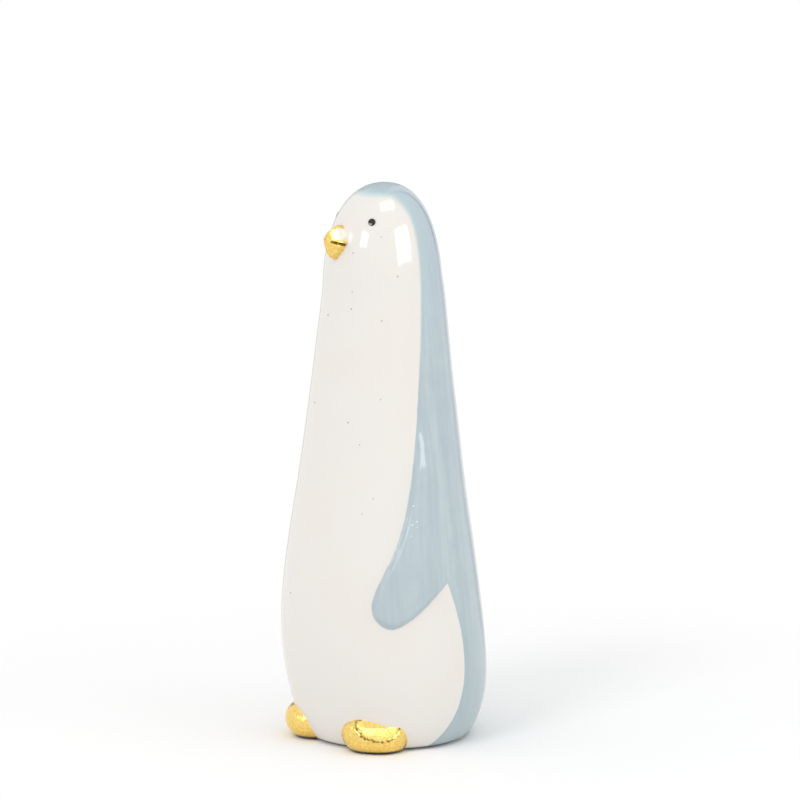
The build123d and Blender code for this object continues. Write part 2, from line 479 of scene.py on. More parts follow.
def blue_glaze_material():
    """Blue-grey stain brushed downwards under the same clear glaze: the brush leaves light and dark
    streaks, the stain pools dark along the coat's edge, and on the head the edge is a thin wash."""
    material, tree, place = new_material("brushed blue underglaze")
    parts = add_node(tree, "ShaderNodeSeparateXYZ", {"Vector": place})
    height, rearward = parts["Z"], parts["Y"]
    inside = add_node(tree, "ShaderNodeAttribute", None, {"attribute_name": "coat_depth"})["Fac"]
    brush = add_node(tree, "ShaderNodeAttribute", None, {"attribute_name": "brush_place"})["Vector"]

    # Streaks of the bristles, 1.4 mm wide and 23 mm long, and of the whole brush, 6 mm wide
    streaks = []
    for width, length, scale, detail in ((1.0 * MM, 16 * MM, 0.7, 3.0), (6 * MM, 45 * MM, 1.0, 2.0)):
        drawn = add_node(
            tree, "ShaderNodeMapping", {"Vector": brush, "Scale": (1 / width, 1 / width, 1 / length)}
        )["Vector"]
        streaks.append(
            add_node(tree, "ShaderNodeTexNoise", {"Vector": drawn, "Scale": scale, "Detail": detail})["Fac"]
        )
    fine, wide = streaks
    clouds = add_node(tree, "ShaderNodeTexNoise", {"Vector": place, "Scale": 1 / (7 * MM), "Detail": 4.0})["Fac"]
    stain = washed(tree, colour("B6C4CB"), colour("BECDD1"), [(wide, 0.35, 0.65, 1.0)])
    stain = washed(tree, stain, colour("D2DDE0"), [(fine, 0.48, 0.8, 0.24)])
    stain = washed(tree, stain, colour("A3B5BF"), [(fine, 0.5, 0.2, 0.26)])
    stain = washed(tree, stain, colour("ADBDC6"), [(clouds, 0.45, 0.7, 0.4)])
    # The coat is painted darker at the back, as painted shade, and darker low down
    darker_back_and_low = [(rearward, 4 * MM, 30 * MM, 0.4), (height, 70 * MM, 10 * MM, 0.5)]
    stain = washed(tree, stain, colour("A9B9BD"), darker_back_and_low, "MAXIMUM")

    # The edge wavers by up to 0.2 mm. It is crisp low down and soft on the head
    waver = add_node(tree, "ShaderNodeTexNoise", {"Vector": place, "Scale": 1 / (3 * MM), "Detail": 2.0})["Fac"]
    waver = add_node(tree, "ShaderNodeMapRange", {"Value": waver, "To Min": -0.2, "To Max": 0.2})["Result"]
    edge = add_node(tree, "ShaderNodeMath", {0: inside, 1: waver}, {"operation": "ADD"})[0]
    softness = add_node(
        tree,
        "ShaderNodeMapRange",
        {"Value": height, "From Min": 110 * MM, "From Max": 165 * MM, "To Min": 0.3, "To Max": 2.2},
    )["Result"]
    fade = add_node(tree, "ShaderNodeMath", {0: edge, 1: softness}, {"operation": "DIVIDE"})[0]
    cover = add_node(tree, "ShaderNodeMapRange", {"Value": fade, "From Min": -0.5, "From Max": 0.5}, EASED)["Result"]
    stain = washed(tree, stain, colour("93A9B6"), [(edge, 1.3, 0.5, 0.1)])
    # On the head the stain is a greener wash near its edge and lilac further in
    wash = washed(tree, colour("B7CED2"), colour("B3C0CD"), [(inside, 2.0, 9.0, 1.0)])
    stain = washed(tree, stain, wash, [(height, 125 * MM, 160 * MM, 0.6)])
    # The brush left the front of the cap almost dry
    dry = [(inside, 2.2, 0.8, 0.8), (rearward, 2 * MM, -6 * MM, 1.0), (height, 166 * MM, 172 * MM, 1.0)]
    stain = washed(tree, stain, colour("D2E1E1"), dry)
    painted = add_node(tree, "ShaderNodeMix", {0: cover, 6: glaze_white(tree, place), 7: stain}, RGBA)[2]
    # The dark line at the base is painted contact shadow
    painted = painted_contact_shadow(tree, height, painted, "555B60")
    end_material(tree, {"Base Color": painted, "Normal": glaze_bump(tree, place), **GLAZE_SHINE})
    return material


def bare_clay_material():
    """Fired white earthenware without glaze, wiped with a sponge: chalky, with faint grains."""
    material, tree, place = new_material("bare fired clay")
    grain = add_node(tree, "ShaderNodeTexNoise", {"Vector": place, "Scale": 1 / (0.6 * MM), "Detail": 4.0})["Fac"]
    tone = add_node(tree, "ShaderNodeMix", {0: grain, 6: colour("D9CFC0"), 7: colour("EBE4D8")}, RGBA)[2]
    relief = add_node(tree, "ShaderNodeBump", {"Strength": 0.5, "Distance": 0.1 * MM, "Height": grain})["Normal"]
    end_material(tree, {"Base Color": tone, "Roughness": 0.85, "IOR": 1.45, "Normal": relief})
    return material


def gold_lustre_material():
    """Gold lustre fired over a crinkled glaze: bright leafy metal, with olive-brown painted shade in the
    hollows and folds, and a near-white painted highlight on the beak's upper sides."""
    material, tree, place = new_material("fired gold lustre")
    height = add_node(tree, "ShaderNodeSeparateXYZ", {"Vector": place})["Z"]
    hollow, crease_shade, thin_and_highlight = [
        add_node(tree, "ShaderNodeAttribute", None, {"attribute_name": label})["Fac"]
        for label in ("hollow", "crease_shade", "thin_and_highlight")
    ]
    hollow = add_node(tree, "ShaderNodeMath", {0: hollow, 1: crease_shade}, {"operation": "ADD"})[0]
    grain, patch = [
        add_node(tree, "ShaderNodeTexNoise", {"Vector": place, "Scale": 1 / width, "Detail": detail})["Fac"]
        for width, detail in ((0.8 * MM, 3.0), (3.5 * MM, 2.0))
    ]
    leaf = washed(tree, colour("F2C863"), colour("FAE08C"), [(grain, 0.35, 0.65, 1.0)])
    # Painted highlight: the beak's upper sides are painted near-white
    leaf = add_node(tree, "ShaderNodeMix", {0: thin_and_highlight, 6: leaf, 7: colour("FBF3E2")}, RGBA)[2]
    # Painted shade: olive-brown in the deepest hollows and along the creases
    gold = washed(tree, leaf, colour("66500F"), [(hollow, 0.68, 0.84, 0.9)])
    # The dark line at the base is painted contact shadow
    gold = painted_contact_shadow(tree, height, gold, "33270F")
    dull = add_node(
        tree,
        "ShaderNodeMapRange",
        {"Value": patch, "From Min": 0.35, "From Max": 0.65, "To Min": 0.14, "To Max": 0.3},
    )["Result"]
    relief = add_node(tree, "ShaderNodeBump", {"Strength": 0.4, "Distance": 0.05 * MM, "Height": grain})["Normal"]
    end_material(tree, {"Base Color": gold, "Metallic": 1.0, "Roughness": dull, "Normal": relief})
    return material


def enamel_material(name, deep, pale, ior):
    """A drop of fired enamel: one deep glassy colour, a shade paler where it is thin. Lead glass in the
    on-glaze black gives it a higher IOR, and so a brighter glint, than the glaze round it."""
    material, tree, place = new_material(name)
    thin_and_highlight = add_node(tree, "ShaderNodeTexNoise", {"Vector": place, "Scale": 1 / (0.5 * MM), "Detail": 2.0})["Fac"]
    tone = add_node(tree, "ShaderNodeMix", {0: thin_and_highlight, 6: colour(deep), 7: colour(pale)}, RGBA)[2]
    end_material(tree, {"Base Color": tone, "Roughness": 0.08, "IOR": ior})
    return material


white_glaze = white_glaze_material()
blue_glaze = blue_glaze_material()
bare_clay = bare_clay_material()
gold_lustre = gold_lustre_material()
black_enamel = enamel_material("black enamel", "040404", "0A0908", 1.6)
grey_speck = enamel_material("grey speck", "6F6A62", "8B857B", 1.5)
# Near-white drops on the flipper: their colour is a painted glint
glint_bead = enamel_material("glaze bead with painted glint", "E4EFF0", "F2F7F7", 1.5)


# Geometry Nodes


def start_tree(name, sizes):
    """A geometry tree with a mesh input, sizes given as a kind and names, and a mesh output. Returns the
    tree and what its input node gives."""
    tree = bpy.data.node_groups.new(name, "GeometryNodeTree")
    tree.interface.new_socket(name="Mesh", in_out="INPUT", socket_type="NodeSocketGeometry")
    for kind, labels in sizes:
        for label in labels:
            tree.interface.new_socket(name=label, in_out="INPUT", socket_type=kind)
    tree.interface.new_socket(name="Mesh", in_out="OUTPUT", socket_type="NodeSocketGeometry")
    return tree, add_node(tree, "NodeGroupInput")


def end_tree(tree, geometry, given):
    """Realizes instances, sets the material and leaves the tree."""
    whole = add_node(tree, "GeometryNodeRealizeInstances", {"Geometry": geometry})["Geometry"]
    dressed = add_node(tree, "GeometryNodeSetMaterial", {"Geometry": whole, "Material": given["Material"]})
    add_node(tree, "NodeGroupOutput", {"Mesh": dressed["Geometry"]})
    return tree


def uneven_tree():
    """Moves a surface inwards by two noises, and keeps how deep each point lies as hollow, 0 to 1."""
    tree, given = start_tree(
        "uneven surface",
        [
            ("NodeSocketFloat", ("Lump Width", "Lump Depth", "Grain Width", "Grain Depth", "Seed")),
            ("NodeSocketMaterial", ("Material",)),
        ],
    )
    place = add_node(tree, "GeometryNodeInputPosition")[0]
    moves = []
    for width, depth, detail in (("Lump Width", "Lump Depth", 1.0), ("Grain Width", "Grain Depth", 2.0)):
        scale = add_node(tree, "ShaderNodeMath", {0: 1.0, 1: given[width]}, {"operation": "DIVIDE"})[0]
        noise = add_node(
            tree,
            "ShaderNodeTexNoise",
            {"Vector": place, "W": given["Seed"], "Scale": scale, "Detail": detail},
            {"noise_dimensions": "4D"},
        )["Fac"]
        move = add_node(tree, "ShaderNodeMath", {0: noise, 1: given[depth]}, {"operation": "MULTIPLY"})[0]
        moves.append((noise, move))
    inwards = add_node(tree, "ShaderNodeMath", {0: moves[0][1], 1: moves[1][1]}, {"operation": "ADD"})[0]
    outwards = add_node(tree, "ShaderNodeMath", {0: inwards, 1: -1.0}, {"operation": "MULTIPLY"})[0]
    step = add_node(
        tree,
        "ShaderNodeVectorMath",
        {0: add_node(tree, "GeometryNodeInputNormal")[0], "Scale": outwards},
        {"operation": "SCALE"},
    )[0]
    kept = add_node(
        tree,
        "GeometryNodeStoreNamedAttribute",
        {"Geometry": given["Mesh"], "Name": "hollow", "Value": moves[1][0]},
        {"data_type": "FLOAT", "domain": "POINT"},
    )["Geometry"]
    moved = add_node(tree, "GeometryNodeSetPosition", {"Geometry": kept, "Offset": step})["Geometry"]
    return end_tree(tree, moved, given)


def speck_tree():
    """Puts a flat drop on each point of a mesh, turned to the surface and a little different in size."""
    tree, given = start_tree(
        "glaze specks",
        [
            ("NodeSocketFloat", ("Speck Width", "Speck Height")),
            ("NodeSocketInt", ("Seed",)),
            ("NodeSocketMaterial", ("Material",)),
        ],
    )
    drop = add_node(tree, "GeometryNodeMeshUVSphere", {"Segments": 12, "Rings": 6, "Radius": 0.5})["Mesh"]
    out = add_node(tree, "GeometryNodeInputNamedAttribute", {"Name": "out"}, {"data_type": "FLOAT_VECTOR"})[0]
    turn = add_node(tree, "FunctionNodeAlignRotationToVector", {"Vector": out}, {"axis": "Z"})["Rotation"]
    width, tall = given["Speck Width"], given["Speck Height"]
    size = add_node(tree, "ShaderNodeCombineXYZ", {"X": width, "Y": width, "Z": tall})[0]
    vary = add_node(
        tree, "FunctionNodeRandomValue", {2: 0.7, 3: 1.25, "Seed": given["Seed"]}, {"data_type": "FLOAT"}
    )[1]
    size = add_node(tree, "ShaderNodeVectorMath", {0: size, "Scale": vary}, {"operation": "SCALE"})[0]
    drops = add_node(
        tree,
        "GeometryNodeInstanceOnPoints",
        {"Points": given["Mesh"], "Instance": drop, "Rotation": turn, "Scale": size},
    )["Instances"]
    return end_tree(tree, drops, given)


def run_tree(piece, tree, **settings):
    """Runs a tree on a piece and puts the result, a plain mesh, in its place."""
    modifier = piece.modifiers.new(tree.name, "NODES")
    modifier.node_group = tree
    for item in tree.interface.items_tree:
        label = item.name.lower().replace(" ", "_")
        if item.item_type == "SOCKET" and item.in_out == "INPUT" and label in settings:
            modifier[item.identifier] = settings[label]
    graph = bpy.context.evaluated_depsgraph_get()
    made = bpy.data.meshes.new_from_object(piece.evaluated_get(graph), depsgraph=graph)
    piece.modifiers.remove(modifier)
    piece.data = made
    made.name = piece.name


uneven = uneven_tree()
specks = speck_tree()


def make_uneven(piece, material, lumps, grains, seed):
    """Makes a piece's surface uneven, with lumps and grains of a width and a depth in mm."""
    sizes = [size * MM for size in lumps + grains]
    labels = ("lump_width", "lump_depth", "grain_width", "grain_depth")
    run_tree(piece, uneven, seed=seed, material=material, **dict(zip(labels, sizes)))


def points_of(piece):
    """Places of a piece's points."""
    found = np.zeros(len(piece.data.vertices) * 3)
    piece.data.vertices.foreach_get("co", found)
    return found.reshape(-1, 3)


def stand_on_floor(piece):
    """Lifts the points that the uneven surface has put below the floor."""
    points = points_of(piece)
    points[:, 2] = np.maximum(points[:, 2], 0.0)
    piece.data.vertices.foreach_set("co", points.ravel())
    piece.data.update()


# Body, coat and flippers: one smooth surface, shared out between four pieces

levels = along_outline(body_step)[:-1]
rings = len(levels)
angles = np.arange(body_turns) * 2 * math.pi / body_turns
height_grid, angle_grid = np.meshgrid(levels[:, 0], angles, indexing="ij")
plain = surface_point(height_grid, angle_grid)


def grid_normals(points):
    """Outward directions of a grid of rings."""
    across = np.roll(points, -1, axis=1) - np.roll(points, 1, axis=1)
    up = np.gradient(points, axis=0)
    out = np.cross(across, up)
    return out / np.linalg.norm(out, axis=-1, keepdims=True)


# How far each point lies inside the blue coat's edge, which is negative outside it
brow = side_line(brow_shares)
flank = side_line([brow_shares[-1]] + flank_shares)
coat_edge = np.concatenate([brow, flank[1:]])
cap_height = brow[0, 1]
cap_half_angle = math.acos((level_at(cap_height)[2] - brow[0, 0]) / level_at(cap_height)[1])
cap_edge = surface_point(cap_height, np.linspace(0, cap_half_angle, 12))
edge_in_space = np.concatenate([cap_edge, onto_surface(coat_edge)[1:]])
far = body_height * 2
coat_corners = np.concatenate(
    [coat_edge, [(coat_edge[-1, 0], -far), (far, -far), (far, far), (-far, far), (-far, cap_height)]]
)
flat_plain = plain.reshape(-1, 3)
folded = np.abs(flat_plain[:, :1]) * (1, 0, 0) + flat_plain * (0, 1, 1)
in_coat = within(folded[:, 1:], coat_corners)
coat_depth = np.where(in_coat, 1, -1) * distance_to_line(folded, edge_in_space)

# Relief of the flippers: round along the front edge, sloped to the rear, and fading up to the shoulder
rear = side_line(flipper_rear_shares)
rear_side = np.interp(folded[:, 2], rear[::-1, 1], rear[::-1, 0]) - folded[:, 1]
rear_depth = np.where(rear_side > 0, distance_to_line(folded, onto_surface(rear)), 0.0)
fade = (folded[:, 2] / body_height - wrist_share) / (shoulder_share - wrist_share)
front_round = np.where(flat_plain[:, 0] < 0, right_flipper_front_round, flipper_front_round)
relief = flipper_relief * (1 - smooth(fade)) * smooth(coat_depth / front_round)
relief *= smooth(rear_depth / flipper_rear_slope) * (folded[:, 2] > body_height * flipper_low_share)
relief = relief.reshape(rings, body_turns)
shaped = plain + grid_normals(plain) * relief[..., None]

# Glaze runs a little uneven over the whole bird
trial = make_piece("trial", shaped.reshape(-1, 3), [grid_faces(rings, body_turns)], [white_glaze])
make_uneven(trial, white_glaze, (25, 0.35), (6, 0.05), 3.0)
glazing = points_of(trial).reshape(rings, body_turns, 3) - shaped
bpy.data.objects.remove(trial)
plain += glazing
shaped += glazing
normals = grid_normals(shaped)
top_point = np.array([0.0, 0.0, body_height]) + glazing[-1].mean(axis=0)
coat_depth = coat_depth.reshape(rings, body_turns)


def region_of(points_in):
    """Grid faces whose four corners are all chosen."""
    ahead = np.roll(points_in, -1, axis=1)
    return points_in[:-1] & ahead[:-1] & points_in[1:] & ahead[1:]


def widened(points_in):
    """The chosen points and their neighbours."""
    wide = points_in | np.roll(points_in, 1, axis=1) | np.roll(points_in, -1, axis=1)
    return wide | np.vstack([wide[1:], wide[-1:]]) | np.vstack([wide[:1], wide[:-1]])


def inner_of(region):
    """Points with a face of the region on every side."""
    below = np.vstack([region[:1], region])
    above = np.vstack([region, np.ones((1, body_turns), bool)])
    return below & above & np.roll(below, 1, axis=1) & np.roll(above, 1, axis=1)


def rim_of(region):
    """Points of a region's faces that aren't inside it."""
    none = np.zeros((1, body_turns), bool)
    some = np.vstack([none, region]) | np.vstack([region, none])
    return (some | np.roll(some, 1, axis=1)) & ~inner_of(region)


def sunk_by(region, depth):
    """How far points lie under a piece that covers a region: nothing at its rim, all of it inside."""
    level = np.zeros((rings, body_turns))
    for share in cover_steps:
        inner = inner_of(region)
        level[inner] = depth * share
        region = region_of(inner)
    return level


def shell(name, region, outer, thickness, material, with_top):
    """A closed thin piece: the faces of a region, their underside, and a wall along its rim."""
    quads = grid_faces(rings, body_turns)[region.ravel()]
    groups = [quads]
    points = np.concatenate([outer.reshape(-1, 3), [top_point]])
    out = np.concatenate([normals.reshape(-1, 3), [(0, 0, 1)]])
    if with_top:
        groups.append(fan_faces((rings - 1) * body_turns, body_turns, rings * body_turns))
    edges = np.concatenate([np.stack([group, np.roll(group, -1, axis=1)], axis=-1).reshape(-1, 2) for group in groups])
    total = len(points)
    code = edges[:, 0] * total + edges[:, 1]
    rim = edges[~np.isin(code, edges[:, 1] * total + edges[:, 0])]
    used = np.unique(np.concatenate([group.ravel() for group in groups]))
    place = np.full(total, -1)
    place[used] = np.arange(len(used))
    groups = [place[group] for group in groups]
    rim = place[rim]
    count = len(used)
    under = [group[:, ::-1] + count for group in groups]
    walls = np.stack([rim[:, 1], rim[:, 0], rim[:, 0] + count, rim[:, 1] + count], axis=-1)
    brush = np.stack([brush_radius * np.sin(angle_grid), -brush_radius * np.cos(angle_grid), height_grid], axis=-1)
    values = {
        "coat_depth": np.concatenate([coat_depth.ravel(), [coat_depth[-1].mean()]])[used] / MM,
        "brush_place": np.concatenate([brush.reshape(-1, 3), [(0, 0, body_height)]])[used],
    }
    return make_piece(
        name,
        np.concatenate([points[used], points[used] - out[used] * thickness]),
        groups + under + [walls],
        [material],
        normals=np.concatenate([out[used], -out[used]]),
        values={label: np.concatenate([numbers, numbers]) for label, numbers in values.items()},
    )


coat_region = region_of(coat_depth > -coat_fringe)
flipper_points = (relief > flipper_least_relief) & (coat_depth > 0)
# A flipper reaches two steps past its own relief, so that its rim lies flat on the body
flipper_region = region_of(widened(widened(flipper_points)))
left_half = region_of(np.sin(angle_grid) > -0.01)
coat_sunk_by = sunk_by(flipper_region, flipper_cover_depth) + rim_dip * rim_of(coat_region)
coat_sunk = plain - normals * coat_sunk_by[..., None]
flipper_raised = shaped - normals * (2 * rim_dip * rim_of(flipper_region))[..., None]
back_coat = shell("back_coat", coat_region, coat_sunk, coat_thickness, blue_glaze, True)
left_flipper = shell(
    "left_flipper_glazed", flipper_region & left_half, flipper_raised, coat_thickness, blue_glaze, False
)
right_flipper = shell(
    "right_flipper_glazed", flipper_region & ~left_half, flipper_raised, coat_thickness, blue_glaze, False
)

# Body: the outside, sunk under the coat, then the foot ring, recess, vent and the room inside the cast
body_sunk = plain - normals * sunk_by(coat_region, coat_thickness)[..., None]
inner_levels = along_outline(inner_step)[::-1]
slope = np.gradient(inner_levels[:, :2], axis=0)
slope /= np.linalg.norm(slope, axis=1)[:, None]
inner_levels[:, 0] -= slope[:, 1] * wall
inner_levels[:, 1] += slope[:, 0] * wall
above_floor = inner_levels[:, 0] > floor_thickness + inner_round
inner_levels = inner_levels[above_floor & (inner_levels[:, 1] > inner_least_radius)]
base_lean = levels[0, 2]
ring_outer = levels[0, 1]
ring_inner = ring_outer * depth_share - foot_ring_width
inside_floor = inner_levels[-1, 1] - inner_round
underside = [
    (inside_floor, floor_thickness),
    (vent_radius + arris, floor_thickness),
    (vent_radius, floor_thickness - arris),
    (vent_radius, recess_depth + arris),
    (vent_radius + arris, recess_depth),
    (ring_inner - 3 * arris, recess_depth),
    (ring_inner - arris, recess_depth - arris),
    (ring_inner, arris),
    (ring_inner + arris, arris * 0.2),
    (ring_inner + 2 * arris, 0.0),
    (ring_outer - arris, 0.0),
]
hidden = np.concatenate([inner_levels, [(height, radius, base_lean) for radius, height in underside]])
# The room inside is an oval like the body, and the rings underneath are round
ovals = np.where(np.arange(len(hidden)) < len(inner_levels), depth_share, 1.0)[:, None]
hidden_points = np.stack(
    [
        hidden[:, 1:2] * np.sin(angles),
        hidden[:, 2:3] - hidden[:, 1:2] * np.cos(angles) * ovals,
        np.repeat(hidden[:, :1], body_turns, axis=1),
    ],
    axis=-1,
)
all_rings = np.concatenate([hidden_points, body_sunk])
count = len(all_rings) * body_turns
body_poles = [top_point - (0, 0, coat_thickness), (0, hidden[0, 2], hidden[0, 0] + inner_top_rise)]
body_points = np.concatenate([all_rings.reshape(-1, 3), body_poles])
body_faces = [
    grid_faces(len(all_rings), body_turns),
    fan_faces(count - body_turns, body_turns, count),
    fan_faces(0, body_turns, count + 1, above=False),
]
bare = np.zeros(sum(len(group) for group in body_faces), np.int32)
bare[: len(hidden) * body_turns] = 1
bare[-body_turns:] = 1
hidden_normals = np.zeros((len(hidden_points) + 1, body_turns, 3))
body_normals = np.concatenate([hidden_normals.reshape(-1, 3), normals[1:].reshape(-1, 3), [(0, 0, 1), (0, 0, 0)]])
body = make_piece("glazed_body", body_points, body_faces, [white_glaze, bare_clay], bare, body_normals)


# Beak, feet and eyes


def closed_rings(points, name, material, values=None):
    """A piece from rings of points that close to a pole at each end, the middle of the end ring."""
    count, turns = points.shape[:2]
    poles = [points[0].mean(axis=0), points[-1].mean(axis=0)]
    faces = [
        grid_faces(count, turns),
        fan_faces((count - 1) * turns, turns, count * turns + 1),
        fan_faces(0, turns, count * turns, above=False),
    ]
    return make_piece(name, np.concatenate([points.reshape(-1, 3), poles]), faces, [material], values=values)


def under_surface(points, depth):
    """Brings points that lie deeper in the body out to a depth under its surface."""
    half_width, half_depth, lean = level_at(points[..., 2])
    across, along = points[..., 0], points[..., 1] - lean
    share = np.sqrt((across / half_width) ** 2 + (along / half_depth) ** 2)
    least = 1 - depth / half_width
    scale = np.where(share < least, least / np.maximum(share, 1e-6), 1.0)
    moved = points.copy()
    moved[..., 0] = across * scale
    moved[..., 1] = lean + along * scale
    return moved


def squared(wave, power):
    """A sine or cosine raised to a power, with its sign."""
    return np.sign(wave) * np.abs(wave) ** power


def make_beak():
    """Pinched four-sided beak, square on the sloping face, with a fold under each side edge."""
    turns, steps = 240, 90
    seat, above, below = [
        surface_point(beak_middle_height + rise, 0.0) for rise in (0.0, beak_depth / 2, -beak_depth / 2)
    ]
    up = (above - below) / np.linalg.norm(above - below)
    out = np.cross((1.0, 0.0, 0.0), up)
    around = np.arange(turns) * 2 * math.pi / turns
    reach = np.concatenate([beak_root_shares, np.sin(np.linspace(0, math.pi / 2, steps))])[:, None]
    size = (1 - np.clip(reach, 0, 1) ** beak_blunt_power) ** beak_taper_power
    size[-1] = 0.02
    # Sides are nearly flat between softly rounded ridges
    u = beak_width / 2 * size * squared(np.sin(around), 2 / beak_squareness)
    w = beak_depth / 2 * size * squared(np.cos(around), 2 / beak_squareness)
    fold = np.exp(-(((w - beak_fold_height) / beak_fold_width) ** 2))
    fold *= smooth(np.abs(u) / (0.3 * beak_width)) * (1 - smooth((reach - 0.55) / 0.4))
    u -= np.sign(u) * beak_fold_depth * fold
    points = seat + out * (beak_reach * reach)[..., None] + u[..., None] * np.array([1.0, 0.0, 0.0])
    points += w[..., None] * up
    # A pale painted highlight on the two upper sides, between the ridges, and painted shade in the folds
    beside, above = np.abs(np.sin(around)), np.cos(around)
    facet_highlight = smooth((beside - 0.34) / 0.2) * smooth((above - 0.24) / 0.16) * (1 - smooth((reach - 0.5) / 0.2))
    values = {
        label: np.concatenate([numbers[:, ::-1].ravel(), [0.0, 0.0]])
        for label, numbers in (("crease_shade", 0.5 * fold), ("thin_and_highlight", facet_highlight))
    }
    beak = closed_rings(points[:, ::-1], "gilded_beak", gold_lustre, values)
    make_uneven(beak, gold_lustre, (3, 0.25), (0.9, 0.07), 5.0)
    return beak


def make_foot(node, angle, reach_share, radius, top, axis_height, fullness, press_depth, seed):
    """Full round lump with a thumb-pressed front, flat underneath and reaching just under the body."""
    turns, steps = 200, 90
    power = 2 / fullness
    around = np.arange(turns) * 2 * math.pi / turns
    rise = np.linspace(-1, 1, steps + 2)[1:-1, None] * math.pi / 2
    flat = np.cos(rise) ** power
    beside = radius * flat * squared(np.sin(around), power)
    ahead = radius * flat * squared(np.cos(around), power)
    height = (top - axis_height) * squared(np.sin(rise), power) - foot_side_slope * beside
    turn = math.radians(angle)
    outward = np.array([math.sin(turn), -math.cos(turn), 0])
    sideways = np.array([math.cos(turn), math.sin(turn), 0])
    lump = ahead[..., None] * outward + beside[..., None] * sideways + height[..., None] * np.array([0, 0, 1.0])
    press = np.array(direction(*foot_press_direction))
    over = lump @ press - press_depth
    pressed = (over + np.sqrt(over**2 + foot_press_round**2)) / 2
    # The press stops short of the body and leaves a rim there
    rim = smooth((lump[..., 2] + axis_height - foot_rim_height) / foot_rim_width)
    lump -= (pressed * (foot_press_share - foot_rim_share * rim))[..., None] * press
    # Painted shade along the crease of the press, stronger towards its rim
    crease_shade = (0.27 + 0.1 * rim) * np.exp(-((over / foot_crease_shade_width) ** 2))
    points = lump + outward * (belly_half_width * reach_share) + np.array([0, 0, axis_height])
    points[..., 2] = np.maximum(points[..., 2], 0.0)
    points = under_surface(points, foot_hidden_depth)
    foot = closed_rings(points, "gilded_" + node, gold_lustre, {"crease_shade": np.append(crease_shade.ravel(), [0.0, 0.0])})
    make_uneven(foot, gold_lustre, (5, 0.35), (1.0, 0.14), seed)
    stand_on_floor(foot)
    return foot


def make_eye(node, angle):
    """Domed bead on the face, with its rim just under the glaze."""
    turns, steps = 48, 14
    seat = surface_point(eye_height, math.radians(angle))
    out = surface_normal(eye_height, math.radians(angle))
    across = np.cross((0, 0, 1), out)
    across /= np.linalg.norm(across)
    up = np.cross(out, across)
    around = np.arange(turns) * 2 * math.pi / turns
    share = np.linspace(0.02, 1, steps)
    radius = eye_diameter / 2 * share
    rise = eye_bulge * (1 - share**eye_dome_power)
    radius = np.append(radius, [eye_diameter / 2, eye_diameter / 4])
    rise = np.append(rise, [-eye_socket_depth, -eye_socket_depth])
    # The drop has sagged a little towards the beak
    sag = math.copysign(1, angle) * np.sin(around) + np.cos(around)
    rise = rise[:, None] + eye_tilt * radius[:, None] * sag / math.sqrt(2)
    points = (
        seat
        + out * rise[..., None]
        + across * (radius[:, None] * np.sin(around))[..., None]
        + up * (radius[:, None] * np.cos(around))[..., None]
    )
    return closed_rings(points, "enamel_" + node, black_enamel)


beak = make_beak()
feet = [(make_foot(*row), row[0]) for row in foot_rows]
eyes = [(make_eye(*row), row[0]) for row in eye_rows]


# Specks and glaze beads


def make_drops(name, points, out, material, **sizes):
    """Drops of one material that lie on points, each turned outwards."""
    drops = make_piece(name, points, [np.zeros((0, 3), int)], [material], values={"out": out})
    run_tree(drops, specks, material=material, **sizes)
    return drops


speck_sink = 0.2 * MM
more_specks = 9
rng = np.random.default_rng(12)
spots = [(height * MM, math.radians(angle)) for height, angle in speck_places]
# A few more on the bird's right side, where the photograph doesn't reach
more_heights = rng.uniform(0.08, 0.85, more_specks) * body_height
more_angles = rng.uniform(-1.5, 0.0, more_specks)
spots = np.array(spots + list(zip(more_heights, more_angles)))
speck_out = surface_normal(spots[:, 0], spots[:, 1])
speck_points = surface_point(spots[:, 0], spots[:, 1]) - speck_out * speck_sink
iron_specks = make_drops(
    "iron_specks", speck_points, speck_out, grey_speck, speck_width=0.34 * MM, speck_height=0.5 * MM, seed=2
)

beads = np.array([(height * MM, math.radians(angle)) for height, angle in bead_places])
bead_out = surface_normal(beads[:, 0], beads[:, 1])
near_height = np.argmin(np.abs(levels[:, 0][:, None] - beads[:, 0]), axis=0)
near_angle = np.argmin(np.abs(angles[:, None] - beads[:, 1]), axis=0)
# Pimples of glaze, coloured near-white as painted glints
glaze_beads = make_drops(
    "glaze_beads",
    shaped[near_height, near_angle],
    bead_out,
    glint_bead,
    speck_width=0.5 * MM,
    speck_height=0.42 * MM,
    seed=4,
)

finish_piece(body, "white_glaze", "body_shell")
finish_piece(back_coat, "blue_glaze", "back_glaze")
finish_piece(left_flipper, "blue_glaze", "left_flipper")
finish_piece(right_flipper, "blue_glaze", "right_flipper")
finish_piece(beak, "gold_lustre", "beak")
for foot, node in feet:
    finish_piece(foot, "gold_lustre", node)
for eye, node in eyes:
    finish_piece(eye, "black_enamel", node)
finish_piece(iron_specks, "white_glaze")
finish_piece(glaze_beads, "blue_glaze")


# Floor, light and camera

# Grey cards stand in the studio and show as thin lines along the glaze's edges: their azimuth, half
# width and how bright they look
cards = [(199.5, 5.5, 0.25), (240, 16, 0.45)]
card_softness = 1.5
tent_level = 0.88

# The paper's own tone, how dark it is in front of a card, and from where to where shadows leave it
paper_level = 0.88
paper_card = 0.45
shadow_reach = 0.1
shadow_end = 0.26
floor_reach = 9.0

aim = Vector((0, 0, 0.092))
camera_place = aim + direction(54, 10.2) * 1.4


